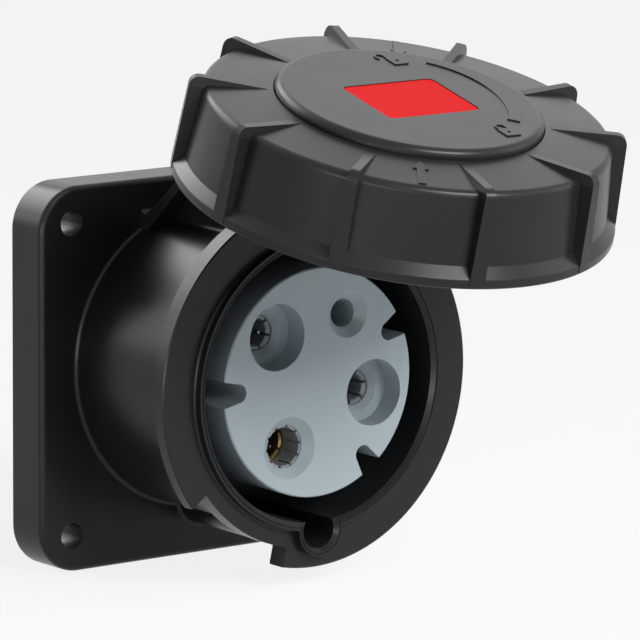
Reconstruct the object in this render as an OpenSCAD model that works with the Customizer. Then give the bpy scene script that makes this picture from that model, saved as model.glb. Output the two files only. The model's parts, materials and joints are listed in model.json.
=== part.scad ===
// Industrial panel socket, two poles and earth, with a hinged bayonet lid.
// World frame: +Z up, origin in the panel plane at the centre of the four mounting holes.
// The socket faces -Y. Pieces are drawn in a working frame on the socket axis (x right, y up,
// z distance in front of the panel) that front() turns into the world frame.
// Clock angles run clockwise from 12, seen from the front.

/* [Flange] */
// Side of the square flange
flange_side = 119; // [112:0.5:126]
// Depth of the flange from panel to front face
flange_depth = 15.2; // [14:0.1:18]
// Radius of the four outline corners
flange_corner_r = 14; // [10:0.5:16]
// Rounding of the front edge
flange_edge_r = 1.8; // [1:0.1:2.5]
// Front wall of the hollow flange
flange_front_wall = 4.5; // [3.5:0.1:6]
// Wall around the hollow
flange_rim_wall = 8; // [7:0.1:9]
// Distance of the flange centre below the socket axis
flange_drop = 3.3; // [2:0.1:4]
// Spacing of the four mounting holes, both ways
mount_pitch = 96.4; // [94:0.2:98]
// Mounting hole
mount_hole_d = 8; // [6:0.1:8.5]
// Boss round each mounting hole
mount_boss_d = 15; // [13:0.5:16]
// Stiffening rib in the hollow
web_t = 2.2; // [1.5:0.1:3]
// Distance of each pair of ribs from the middle
web_offset = 20; // [15:1:28]

/* [Panel gasket] */
// Distance of the gasket groove from the outline
gasket_inset = 2; // [1.5:0.1:2.2]
// Width of the groove
gasket_groove_w = 3; // [2:0.1:3.2]
// Depth of the groove
gasket_groove_depth = 2; // [1:0.1:3]
// Side clearance of the gasket in its groove
gasket_clearance = 0.1; // [0.05:0.05:0.3]

/* [Neck and collar] */
// Outside diameter of the neck
neck_d = 93; // [92:0.2:96]
// Fillet between neck and flange
neck_fillet = 1.4; // [1:0.1:4]
// Outside diameter of the bayonet collar
collar_d = 113.6; // [112:0.2:115]
// Distance from panel to the front face of the collar
collar_front = 74.1; // [72:0.1:76]
// Thickness of the collar rim where the lid is locked
rim_thick = 6.8; // [6:0.1:7.2]
// Thickness of the collar rim where the lug enters
rim_thin = 4.2; // [3.5:0.1:5]
// Small chamfer on the rim edges
rim_chamfer = 0.4; // [0.2:0.1:0.8]
// Diameter of the collar between the rim segments
core_d = 101.2; // [100:0.2:102]
// Depth of that core
core_depth = 6; // [4:0.1:7]
// Depth of the cone behind the core
core_cone = 2; // [1:0.1:3]
// Clock angle at which the gap for the lid's arm starts
arm_gap_from = -14; // [-15:0.5:-13]
// Clock angle at which the lower entry gap starts
entry_from = 192.4; // [190:0.2:194]
// Clock angle at which it ends
entry_to = 233.8; // [232:0.2:236]
// Length of flat rim before the ramp, in degrees
ramp_lead = 38; // [20:1:45]
// Length of the ramp, in degrees
ramp_span = 48; // [30:1:55]

/* [Socket mouth] */
// Outside diameter of the raised lip
lip_d = 90.2; // [89.6:0.1:91]
// Bore of the mouth
bore_d = 85; // [84.6:0.1:85.6]
// Height of the lip over the collar face
lip_height = 2.8; // [2:0.1:3.2]
// Fillet at the foot of the lip
lip_fillet = 0.8; // [0.3:0.1:1.2]
// Chamfer inside the lip
lip_chamfer = 1.2; // [0.6:0.1:1.5]
// Width of the fine groove round the lip
lip_groove_w = 0.3; // [0.2:0.05:0.5]
// Depth of that groove
lip_groove_depth = 0.5; // [0.3:0.1:0.8]
// Radius of the keyway
key_r = 5.65; // [5:0.05:6]
// Distance of the keyway centre below the axis
key_centre = 45; // [44.5:0.1:45.5]
// Wall round the keyway
key_wall = 2.35; // [2:0.05:2.6]
// Distance from panel to the shoulder that the insert seats on
shoulder_z = 30; // [28:0.5:34]
// Thickness of the floor ring in front of the shoulder
floor_t = 3; // [2:0.1:5]
// Side clearance of the insert in the floor ring
floor_clearance = 0.3; // [0.1:0.05:0.5]
// Bore behind the shoulder
rear_bore_d = 88.4; // [88:0.1:88.8]
// Distance from panel to the rear end of the neck tube
tube_rear_z = 6; // [5.5:0.1:7]

/* [Hinge bracket] */
// Height of the hinge axis over the socket axis
hinge_up = 64; // [63.5:0.1:64.5]
// Distance of the hinge axis from the panel
hinge_out = 45.2; // [44.8:0.1:45.6]
// Hinge pin diameter
pin_d = 4; // [3:0.1:5]
// Running clearance of the lid on the pin, per side
pin_clearance = 0.05; // [0.02:0.01:0.08]
// Outside radius of the hinge eyes
eye_r = 5; // [4.5:0.1:5.5]
// Half the width of the bracket
bracket_half = 22.5; // [20:0.1:24]
// Half the space between the cheeks
cheek_inner = 12.6; // [12.4:0.1:13]
// Thickness of each cheek
cheek_t = 3.4; // [3:0.1:4]
// Slope of the bracket's web
web_slope = 38.5; // [36:0.5:40]
// Thickness of the bracket's web
bracket_t = 2; // [1.5:0.1:3]
// Height of the web's underside where it leaves the flange
web_foot = 40.8; // [40:0.1:41.5]
// Fillet at the foot of the bracket's cheeks and web
bracket_fillet = 2; // [1:0.1:3]
// Gap between the bracket's cheeks and the sweep of the ring's lugs
lug_passage = 0.7; // [0.5:0.1:1]
// Gap between the cheeks and the ring's rear edge
cheek_ring_gap = 0.6; // [0.4:0.1:1]
// Gap between the lid's eye and the bracket's web
eye_gap = 0.7; // [0.4:0.1:1]

/* [Contact insert] */
// Diameter of the insert
insert_d = 70; // [69:0.1:70.6]
// Distance from panel to the insert's face
insert_front = 75.1; // [74:0.1:76]
// Chamfer round the face
insert_chamfer = 0.4; // [0.2:0.1:0.8]
// Thickness of the insert's foot disc
insert_foot = 6; // [5:0.1:8]
// Side clearance of the foot disc in the rear bore
foot_clearance = 0.3; // [0.1:0.05:0.4]
// Radius of the contact circle
contact_pitch_r = 21.7; // [21:0.1:22.3]
// Clock angle of the earth contact
earth_clock = 209.5; // [208:0.5:211]
// Angle between the earth contact and each phase contact
phase_angle = 105.2; // [104:0.2:107]
// Radius on which the pilot hole lies
pilot_pitch_r = 22.6; // [22:0.1:23]
// Pilot hole
pilot_d = 8.7; // [8:0.1:9]
// Lead-in of the pilot hole
pilot_lead = 2.9; // [2:0.1:3.2]
// Depth of the pilot hole
pilot_depth = 25; // [15:1:30]
// Counterbore over each phase contact
phase_counter_d = 20.4; // [19.5:0.1:20.8]
// Depth of that counterbore
phase_counter_depth = 8; // [6:0.1:9]
// Wide end of the funnel below the counterbore
phase_funnel_d = 14.1; // [13:0.1:15]
// Depth of the funnel
phase_funnel_depth = 2; // [1:0.1:3]
// Opening over each phase contact
phase_hole_d = 10.8; // [10.6:0.1:11.4]
// Opening over the earth contact
earth_hole_d = 13.3; // [13.1:0.1:13.8]
// Lead-in of the earth opening
earth_lead = 2.9; // [2:0.1:3.2]
// Space round each contact sleeve and its spring
sleeve_space = 1.6; // [1.3:0.1:2]
// Clock angle of the three side notches
notch_clock = [64.2, 144.2, 269.5];
// Radius at the bottom of a notch
notch_r = 2.9; // [2:0.1:3.2]
// Distance of a notch's bottom from the axis
notch_reach = 26.8; // [26.4:0.1:28]
// Half width of a notch at the insert's side
notch_half = 4.25; // [3.5:0.05:4.6]

/* [Contacts] */
// Bore of a phase contact
phase_pin_d = 8; // [7.5:0.1:8.2]
// Bore of the earth contact
earth_pin_d = 10; // [9.5:0.1:10.2]
// Wall of a contact sleeve
sleeve_wall = 1.2; // [1:0.05:1.3]
// Distance of a phase sleeve's tip behind the face
phase_tip = 10.6; // [10.4:0.1:14]
// Distance of the earth sleeve's tip behind the face
earth_tip = 11.6; // [11.4:0.1:14]
// Distance of the earth cage's front end behind the face
cage_front = 3.3; // [3.2:0.1:4]
// Distance of the earth cage's rear end behind the face
cage_rear = 11; // [8:0.1:11.2]
// Wall of the earth cage
cage_wall = 0.7; // [0.5:0.05:0.8]
// Side clearance of the earth cage in its opening
cage_clearance = 0.05; // [0.02:0.01:0.1]
// Number of slots in the earth cage
cage_slots = 10; // [6:2:14]
// Length of the cage's closed ring at the rear
cage_ring = 1.4; // [1:0.1:3]
// Length of the slots that split a sleeve into fingers
slot_length = 24; // [15:1:28]
// Number of these slots
sleeve_slots = 6; // [4:2:8]
// Width of these slots
slot_w = 0.9; // [0.6:0.1:1.4]
// Wire diameter of the spring round a sleeve
spring_wire = 1.6; // [1.2:0.1:1.8]
// Depth of the spring's groove in the sleeve
spring_seat = 0.5; // [0.3:0.05:0.6]
// Distance of the spring behind the sleeve's tip
spring_back = 6; // [4:0.5:10]
// Diameter of the collar that holds a contact
flange_ring_d = 16; // [15.5:0.1:17]
// Thickness of that collar
flange_ring_t = 3; // [2:0.1:4]

/* [Terminals] */
// Side of a terminal block
block_side = 15; // [14.5:0.1:15.5]
// Distance of the terminal block's end behind the panel
block_rear = 18; // [16:0.5:20]
// Depth of the terminal block from its end
block_length = 36; // [34:0.5:38]
// Wire hole
wire_d = 9.5; // [8:0.1:10]
// Depth of the wire hole
wire_depth = 22; // [15:0.5:26]
// Clamp screw thread
clamp_d = 6; // [5:0.1:6.4]
// Head of a clamp screw
clamp_head_d = 8; // [7:0.1:9]
// Height of that head
clamp_head_h = 3; // [2:0.1:4]
// Distance of a clamp screw's tip from the wire hole
clamp_tip_gap = 0.15; // [0.1:0.05:0.5]
// Distances of the two clamp screws from the block's end
clamp_from_end = [5, 13.5];
// Clearance of a screw's shank in its hole
screw_clearance = 0.05; // [0.02:0.01:0.15]
// Side clearance of screw heads and contact collars in their seats
seat_clearance = 0.2; // [0.1:0.05:0.4]
// Depth of a blind screw hole beyond the screw
hole_spare = 0.5; // [0.2:0.1:1]
// Clearance of a block in its chamber
chamber_clearance = 0.3; // [0.2:0.05:0.5]

/* [Contact base] */
// Diameter of the base behind the panel
base_d = 80; // [78:0.5:84]
// Distance of the base's end behind the panel
base_rear = 21; // [20.5:0.5:26]
// Distance from panel to the step under the wide part
base_step_z = 9; // [8:0.5:12]
// Thickness of the ear plate
ear_t = 3.2; // [2.5:0.1:3.6]
// Diameter of an ear
ear_d = 10; // [9:0.1:11]
// Sideways place of the ear screws
ear_x = 45; // [44:0.1:46]
// Height of the ear screws above and below the axis
ear_y = 26; // [24:0.1:28]
// Diameter of the ear plate
ear_plate_d = 93; // [91:0.5:94]
// Boss under each ear
ear_boss_d = 9; // [8:0.1:10]
// Shank of an ear screw
ear_screw_d = 3.6; // [3:0.1:4]
// Head of an ear screw
ear_head_d = 7.5; // [6.5:0.1:8]
// Height of that head
ear_head_h = 2.3; // [1.5:0.1:2.6]
// Length of an ear screw under its head
ear_screw_l = 10; // [8:0.1:11]
// Clock angles of the screws that join base and insert
joiner_clock = [20, 172, 240];
// Radius on which they lie
joiner_r = 31; // [30:0.1:31.5]
// Shank of a joining screw
joiner_d = 3.6; // [3:0.1:4]
// Head of a joining screw
joiner_head_d = 7; // [6:0.1:7.5]
// Distance from panel to the underside of its head
joiner_seat_z = 14; // [12:0.5:16]
// Height of that head
joiner_head_h = 3; // [2:0.1:4]
// Length of a joining screw under its head
joiner_l = 24; // [20:0.5:28]

/* [Lid] */
// Opening angle in which the lid is drawn
lid_open = 74.7; // [60:0.1:90]
// Distance from panel to the ring's rear edge with the lid shut
ring_rear = 58.8; // [58.6:0.1:59.2]
// Outside diameter of the ring's rear bead
bead_d = 132; // [130:0.2:134]
// Height of the bead
bead_h = 3.4; // [2.5:0.1:4]
// Diameter of the ring's side above the bead
side_d = 126; // [125.6:0.2:127]
// Height at which the bead's slope ends
side_h = 6; // [5:0.1:7]
// Diameter of the ring's side at the top
top_d = 121.6; // [121:0.2:122.4]
// Height of the ring's top at its edge
ring_h = 27.9; // [27:0.1:29]
// Rise of the ring's top towards the middle
top_rise = 1.3; // [0.5:0.1:2]
// Rounding of the ring's top edge
top_edge_r = 2.2; // [1.5:0.1:2.5]
// Diameter inside the ring at its rear edge
skirt_d = 120.8; // [120.4:0.2:121.2]
// Diameter inside the ring over the collar face
inner_d = 116.4; // [116:0.2:117]
// Height at which the ring's inside has narrowed to that
inner_h = 16; // [14:0.5:18]
// Height of the underside of the ring's top
ceiling_h = 25; // [24.9:0.05:25.4]
// Number of grip ribs
rib_count = 10; // [8:1:12]
// Clock angle of the first rib
rib_clock = 15.5; // [0:0.5:36]
// Width of a rib at the ring's rear edge
rib_w = 5; // [3.5:0.1:6]
// Width of a rib at the ring's top
rib_top_w = 3.6; // [2.5:0.1:4]
// Width of a rib at its crest
rib_crest_w = 2.6; // [2:0.1:3.5]
// Rounding of a rib's outer corner
rib_corner_r = 3; // [1:0.1:3.5]
// Height of a rib's side over the bead
rib_proud = 0.15; // [0.1:0.05:0.5]
// Height of the ribs over the panel side of the ring
rib_h = 30; // [29.6:0.1:31]
// Outside radius of the ribs at the top
rib_out_r = 65; // [63.5:0.1:65.6]
// Radius at which the ribs fade into the top
rib_in_r = 42; // [41.5:0.1:44]
// Clock angle of the middle of the first lug
lug_clock = 33.1; // [32.6:0.1:33.6]
// Length of a lug, in degrees
lug_span = 34; // [28:0.5:34.5]
// Radius to the inside of the lugs
lug_r = 54; // [53.9:0.1:54.4]
// Height of a lug's rear face
lug_low = 1.5; // [1.2:0.1:2.5]
// Clearance between a lug and the thick rim
lug_clearance = 0.3; // [0.2:0.05:0.5]
// Turn of the ring between open and locked, in degrees
ring_turn = 115; // [100:1:116]

/* [Lid cap and disc] */
// Diameter of the cap inside the ring
cap_d = 113; // [112:0.2:114]
// Height of the cap's rear face
cap_low = 20; // [19.8:0.1:20.4]
// Height of the cap's front face
cap_high = 23.5; // [23.2:0.1:23.7]
// Outside diameter of the cap's hub
hub_d = 71.4; // [70:0.2:71.8]
// Wall of the hub
hub_wall = 2.7; // [2:0.1:4]
// Height of the hub's end
hub_h = 27.5; // [27.4:0.1:27.8]
// Running clearance of the ring on the hub, per side
hub_clearance = 0.3; // [0.15:0.05:0.4]
// Diameter of the disc on the lid's front
disc_d = 80; // [79:0.2:80.6]
// Height of the disc's front face
disc_h = 32; // [31.5:0.1:32.6]
// Rounding of the disc's edge
disc_edge_r = 2.2; // [1:0.1:2.4]
// Groove between disc and ring
disc_gap = 0.35; // [0.2:0.05:1]
// Width of the coloured plate
plate_w = 33.2; // [30:0.2:36]
// Height of the coloured plate
plate_h = 24.4; // [20:0.2:28]
// Corner radius of the plate
plate_r = 2; // [1:0.1:4]
// Thickness of the plate
plate_t = 0.7; // [0.4:0.1:0.9]
// Depth of the plate's seat in the disc
plate_seat = 0.9; // [0.7:0.1:1.2]
// Side clearance of the plate
plate_clearance = 0.15; // [0.1:0.05:0.3]
// Radius on which the disc's screws lie
disc_screw_r = 24; // [22:0.5:27]
// Boss round each of these screws
disc_boss_d = 8; // [7:0.1:9]
// Shank of a disc screw
disc_screw_d = 3.4; // [3:0.1:4]
// Head of a disc screw
disc_head_d = 6.8; // [6:0.1:7]
// Height of that head
disc_head_h = 2; // [1.5:0.1:2.2]
// Length of a disc screw under its head
disc_screw_l = 7.5; // [6:0.1:8]
// Depth of the disc's screw holes beyond the screws
disc_hole_spare = 0.3; // [0.2:0.1:0.5]
// Clock angle of the first disc screw
disc_screw_clock = 45; // [35:1:55]
// Inside diameter of the slide washer
washer_in_d = 75; // [73:0.5:80]
// Outside diameter of the slide washer
washer_out_d = 108; // [100:0.5:109]
// Clearance of the ring over the slide washer
washer_gap = 0.2; // [0.1:0.05:0.3]
// Inside diameter of the lid seal
seal_in_d = 81.6; // [80:0.2:83]
// Outside diameter of the lid seal
seal_out_d = 107.2; // [106.8:0.2:107.4]
// Depth of the seal's groove in the cap
seal_seat = 1.2; // [1:0.1:1.6]
// Gap between the seal and the lip with the lid shut
seal_gap = 0.3; // [0.2:0.05:0.6]
// Half width of the hinge arm
arm_half = 11.5; // [10:0.1:11.6]
// Gap between the arm and the collar's cut-out, per side
arm_side_gap = 0.8; // [0.5:0.1:1]
// Height of the arm's underside over the socket axis
arm_low = 48; // [47.6:0.1:48.4]
// Thickness of the arm over the seal
arm_top_t = 3.4; // [3:0.1:3.5]
// Gap between the arm and the ring's rear edge
arm_ring_gap = 0.45; // [0.3:0.05:0.6]
// Side gap between the lid's eye and the bracket's eyes
eye_side_gap = 0.3; // [0.2:0.05:0.5]
// Depth of the arm behind the ring
arm_depth = 7.6; // [6:0.1:8]
// Diameter of the clip on each end of the pin
clip_d = 8; // [7:0.1:9]
// Thickness of that clip
clip_t = 1.2; // [0.8:0.1:2]
// Gap between the arm and the seal
arm_seal_gap = 0.8; // [0.5:0.1:1]
// Height of the arm's back over the cap's edge
arm_rise = 1.2; // [1:0.1:1.4]
// Depth of the arm's lower front corner
arm_chin = 8; // [6:0.5:10]
// Width of the block that stops the ring, in degrees
stop_span = 6; // [4:1:8]
// Gap between the stop block and the seal
stop_gap = 0.8; // [0.6:0.1:1]
// Clock angle of the stop block with the ring open
stop_clock = 60; // [50:1:70]

/* [Hidden] */
// Overlap that joins or cuts cleanly
eps = 0.1;
// Longer overlap, where a shape runs into its neighbour or a cut leaves the solid
margin = 1;
// Facets of large and of small circles
fn_large = 120;
fn_small = 40;
// Cross in a screw's head: its depth against the head's height, its width and length against
// the head's diameter
cross_depth = 0.55;
cross_width = 0.16;
cross_length = 0.64;
// Turn, in degrees, over which the cut of a ramp runs on
ramp_run_out = 12;
// Depth by which the bracket's cheeks reach into the neck before the bore cuts them
cheek_sink = 8;
// Rounding of the ring's rear bead
bead_round = 0.8;
// Length of the pin beyond each clip
pin_end = 0.6;
// Reach of a cutting shape beyond everything
far = 200;
neck_r = neck_d / 2;
lip_front = collar_front + lip_height;
rim_back = collar_front - rim_thick;
bulge_r = key_r + key_wall;
foot_z = shoulder_z - insert_foot;
floor_z = shoulder_z + floor_t;
pocket_side = flange_side - 2 * flange_rim_wall;
pocket_corner_r = flange_corner_r - flange_rim_wall;
phase_1_clock = earth_clock + phase_angle;
phase_2_clock = earth_clock - phase_angle;
pilot_clock = earth_clock - 180;
phase_sleeve_r = phase_pin_d / 2 + sleeve_wall;
earth_sleeve_r = earth_pin_d / 2 + sleeve_wall;
phase_tip_z = insert_front - phase_tip;
earth_tip_z = insert_front - earth_tip;
block_front_z = block_length - block_rear;
cheek_outer = cheek_inner + cheek_t;
eye_half = cheek_inner - eye_side_gap;
gap_half = arm_half + arm_side_gap;
lug_high = rim_back - ring_rear - lug_clearance;
washer_low = cap_high;
washer_high = ceiling_h - washer_gap;
seal_low = lip_front + seal_gap - ring_rear;
ring_hole_r = hub_d / 2 + hub_clearance;
disc_low = hub_h;
ring_seat_h = disc_low - hub_clearance;
ear_z = tube_rear_z - ear_t;
black = "#26282b";
grey_blue = "#a3aeb3";
brass = "#b8903c";
plated = "#9a9c9e";
steel = "#8f9296";
rubber = "#18191b";
natural = "#d8d8d2";
red = "#e23236";

// ---- Frames ----

// Turns the working frame into the world frame.
module front() {
    rotate([90, 0, 0]) translate([0, flange_drop, 0]) children();
}

// Turns what is drawn at 12 o'clock to another clock angle.
module clock(angle) {
    rotate([0, 0, -angle]) children();
}

// Swings what is drawn on the shut lid to the opening angle, in the world frame.
module on_lid() {
    front() translate([0, hinge_up, hinge_out]) rotate([-lid_open, 0, 0])
        translate([0, -hinge_up, -hinge_out]) children();
}

// Raises a piece of the lid from the ring's rear edge.
module from_ring_rear() {
    translate([0, 0, ring_rear]) children();
}

// ---- Shared shapes ----

// Cylinder between two heights.
module rod(d, from, to, fn = fn_large) {
    translate([0, 0, from]) cylinder(d = d, h = to - from, $fn = fn);
}

// Tube between two heights.
module tube(outer_d, inner_d, from, to) {
    difference() {
        rod(outer_d, from, to);
        rod(inner_d, from - eps, to + eps);
    }
}

// Cone between two heights.
module cone(d_from, d_to, from, to, fn = fn_large) {
    translate([0, 0, from]) cylinder(d1 = d_from, d2 = d_to, h = to - from, $fn = fn);
}

// Square with rounded corners, centred.
module rounded_square(w, h, r) {
    square([w - 2 * r, h], center = true);
    square([w, h - 2 * r], center = true);
    for (sx = [-1, 1], sy = [-1, 1])
        translate([sx * (w / 2 - r), sy * (h / 2 - r)]) circle(r = r, $fn = fn_small);
}

// Arc points round a centre, for profiles.
function arc(cx, cy, r, from, to, steps = 6) =
    [for (i = [0:steps]) let (a = from + (to - from) * i / steps) [cx + r * cos(a), cy + r * sin(a)]];

// Wedge between two clock angles, for cutting.
module sector(from, to, low, high) {
    steps = 6;
    reach = far;
    translate([0, 0, low]) linear_extrude(high - low)
        polygon(concat([[0, 0]], [for (i = [0:steps]) let (a = from + (to - from) * i / steps)
            [reach * sin(a), reach * cos(a)]]));
}

// Places a piece on the four corners of a centred rectangle.
module on_corners(x, y) {
    for (sx = [-1, 1], sy = [-1, 1]) translate([sx * x, sy * y, 0]) children();
}

// Screw with a cross-slotted pan head: its seat at height 0, its shank upwards.
module pan_screw(d, length, head_d, head_h) {
    slot_depth = head_h * cross_depth;
    slot = head_d * cross_width;
    difference() {
        union() {
            rod(d, 0, length, fn_small);
            rod(head_d, -head_h, 0, fn_small);
        }
        for (a = [0, 90]) rotate([0, 0, a])
            translate([-head_d * cross_length / 2, -slot / 2, -head_h - eps])
                cube([head_d * cross_length, slot, slot_depth + eps]);
    }
}

// ---- Housing ----

// Profile of a slab's edge: half width r, height depth, front edge rounded.
function slab_profile(r, depth, edge_r) =
    concat([[0, 0], [r, 0]], arc(r - edge_r, depth - edge_r, edge_r, 0, 90), [[0, depth]]);

// Square slab with rounded corners and a rounded front edge.
module slab(side, depth, corner_r, edge_r) {
    half = side / 2 - corner_r;
    on_corners(half, half) rotate_extrude($fn = fn_large) polygon(slab_profile(corner_r, depth, edge_r));
    for (k = [0:3]) rotate([0, 0, 90 * k]) translate([half - eps, 0, 0]) rotate([90, 0, 0])
        linear_extrude(2 * half, center = true) polygon(slab_profile(corner_r + eps, depth, edge_r));
    translate([-half, -half, 0]) cube([2 * half, 2 * half, depth]);
}

// Ring-shaped strip that follows the flange's outline, for the gasket and its groove.
module gasket_strip(clearance, low, high) {
    outer = flange_side - 2 * gasket_inset - 2 * clearance;
    inner = outer - 2 * gasket_groove_w + 4 * clearance;
    outer_r = flange_corner_r - gasket_inset - clearance;
    inner_r = outer_r - gasket_groove_w + 2 * clearance;
    translate([0, -flange_drop, low]) linear_extrude(high - low) difference() {
        rounded_square(outer, outer, outer_r);
        rounded_square(inner, inner, inner_r);
    }
}

// Hollow flange with its bosses and ribs.
module flange() {
    translate([0, -flange_drop, 0]) difference() {
        slab(flange_side, flange_depth, flange_corner_r, flange_edge_r);
        difference() {
            translate([0, 0, -eps]) linear_extrude(flange_depth - flange_front_wall + eps)
                rounded_square(pocket_side, pocket_side, pocket_corner_r);
            on_corners(mount_pitch / 2, mount_pitch / 2) rod(mount_boss_d, -margin, flange_depth, fn_small);
            for (s = [-1, 1]) {
                translate([s * web_offset - web_t / 2, -far / 2, tube_rear_z]) cube([web_t, far, far]);
                translate([-far / 2, s * web_offset - web_t / 2, tube_rear_z]) cube([far, web_t, far]);
            }
        }
    }
    on_corners(ear_x, ear_y) rod(ear_boss_d, tube_rear_z, flange_depth - margin, fn_small);
}

// Round boss on the flange with a fillet at its foot.
module filleted_boss(r, from, to, fn = fn_large) {
    rotate_extrude($fn = fn) polygon(concat(
        [[0, from], [r, from], [r, flange_depth - margin], [r + neck_fillet, flange_depth - margin]],
        arc(r + neck_fillet, flange_depth + neck_fillet, neck_fillet, 270, 180),
        [[r, to], [0, to]]));
}

// Neck, and the keyway's half-round housing below it.
module neck() {
    filleted_boss(neck_r, tube_rear_z, collar_front - margin);
    translate([0, -key_centre, 0])
        filleted_boss(bulge_r, flange_depth - 2 * margin, collar_front - margin, fn_small);
}

// Profile of the rim disc, chamfered at its two outer edges.
function rim_profile() = let (r = collar_d / 2, c = rim_chamfer)
    [[0, rim_back], [r - c, rim_back], [r, rim_back + c], [r, collar_front - c], [r - c, collar_front],
     [0, collar_front]];

// Cuts one rim segment down to its thin lead and its ramp, which starts at 12 o'clock.
module ramp_cut() {
    rise = rim_thick - rim_thin;
    slope = atan(rise / (collar_d / 2 * sin(ramp_span)));
    thin_back = collar_front - rim_thin;
    // flat lead, on the left of 12 o'clock
    sector(-ramp_lead - margin, 0, rim_back - margin, thin_back);
    // ramp, on the right
    intersection() {
        translate([0, 0, thin_back]) rotate([0, slope, 0]) translate([0, 0, -far / 2])
            translate([0, -margin, 0]) cube([far, far, far / 2]);
        sector(-margin, ramp_span + ramp_run_out, rim_back - margin, thin_back + margin);
    }
}

// Bayonet collar: a core, two rim segments with ramps, and two entry gaps.
module collar() {
    rod(core_d, collar_front - core_depth, collar_front);
    cone(neck_d, core_d, collar_front - core_depth - core_cone, collar_front - core_depth);
    difference() {
        rotate_extrude($fn = fn_large) polygon(rim_profile());
        for (turn = [0, 180]) {
            sector(entry_from + turn, entry_to + turn, rim_back - margin, collar_front + margin);
            clock(entry_to + ramp_lead + turn) ramp_cut();
        }
        sector(arm_gap_from, entry_to - 180, rim_back - margin, collar_front + margin);
    }
}

// Raised lip round the mouth and the keyway.
module lip() {
    r = lip_d / 2;
    rotate_extrude($fn = fn_large) polygon(concat(
        [[0, collar_front - margin], [r + lip_fillet, collar_front - margin]],
        arc(r + lip_fillet, collar_front + lip_fillet, lip_fillet, 270, 180),
        [[r, lip_front], [0, lip_front]]));
    translate([0, -key_centre, 0]) rod(2 * bulge_r, collar_front - margin, lip_front);
}

// Chamfer and fine groove of one round opening in the lip.
module lip_details(r) {
    cone(2 * r, 2 * (r + lip_chamfer + eps), lip_front - lip_chamfer, lip_front + eps);
    groove_r = r + lip_chamfer + lip_groove_w;
    tube(2 * (groove_r + lip_groove_w), 2 * groove_r, lip_front - lip_groove_depth, lip_front + eps);
}

// Side outline of a bracket cheek, in forward and upward coordinates.
function cheek_outline() = let (
    lug_sweep = lug_r - lug_passage,
    low_top = sqrt(lug_sweep * lug_sweep - cheek_outer * cheek_outer),
    step_z = ring_rear - cheek_ring_gap,
    foot = neck_r - cheek_sink)
    [[flange_depth - margin, foot], [flange_depth - margin, web_foot],
     [hinge_out - eye_r * sin(web_slope), hinge_up + eye_r * cos(web_slope)],
     [hinge_out, hinge_up], [hinge_out + eye_r, hinge_up], [step_z, low_top + margin], [step_z, low_top],
     [rim_back + margin, low_top], [rim_back + margin, foot]];

// Outline of the sloping web between flange and hinge.
function web_outline() = let (
    r = bracket_fillet,
    up = bracket_t / cos(web_slope),
    reach = hinge_out - flange_depth,
    top_foot = web_foot + up,
    // the fillets touch the flange face, and the web's faces at this distance from their foot
    over = r * tan((90 - web_slope) / 2),
    under = r * tan((90 + web_slope) / 2))
    concat(
        [[flange_depth - margin, web_foot - under]],
        arc(flange_depth + r, web_foot - under, r, 180, 90 + web_slope),
        [[hinge_out, web_foot + reach * tan(web_slope)], [hinge_out, top_foot + reach * tan(web_slope)]],
        arc(flange_depth + r, top_foot + r * tan(web_slope) + r / cos(web_slope),
            r, 270 + web_slope, 180),
        [[flange_depth - margin, top_foot + over + r]]);

// Extrudes a side outline sideways, between two places.
module across(outline, from, to) {
    translate([to, 0, 0]) rotate([0, -90, 0]) linear_extrude(to - from) polygon(outline);
}

// Fillet along the outer foot of one cheek, where it stands on the neck.
module cheek_fillet(s) {
    r = bracket_fillet;
    centre_x = cheek_outer + r;
    centre_y = sqrt(pow(neck_r + r, 2) - centre_x * centre_x);
    foot = neck_r / (neck_r + r);
    translate([0, 0, flange_depth]) linear_extrude(rim_back - flange_depth) scale([s, 1]) difference() {
        polygon([[cheek_outer - margin, centre_y], [centre_x, centre_y],
            [centre_x * foot, centre_y * foot], [cheek_outer - margin, neck_r * foot - margin]]);
        translate([centre_x, centre_y]) circle(r = r, $fn = fn_small);
    }
}

// Places a piece on the hinge axis, sideways by x.
module at_hinge(x = 0) {
    translate([x, hinge_up, hinge_out]) children();
}

// Rod along the hinge axis.
module hinge_rod(r, length) {
    rotate([0, 90, 0]) cylinder(r = r, h = length, center = true, $fn = fn_small);
}

// Hinge bracket: two cheeks, a sloping web and the eyes for the pin.
module bracket() {
    for (s = [-1, 1]) {
        across(cheek_outline(), s > 0 ? cheek_inner : -cheek_outer, s > 0 ? cheek_outer : -cheek_inner);
        at_hinge((s * (cheek_inner + bracket_half)) / 2) hinge_rod(eye_r, bracket_half - cheek_inner);
        intersection() {
            cheek_fillet(s);
            across(cheek_outline(), -bracket_half, bracket_half);
        }
    }
    difference() {
        across(web_outline(), -bracket_half, bracket_half);
        at_hinge() hinge_rod(eye_r + eye_gap, 2 * cheek_inner);
    }
}

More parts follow.
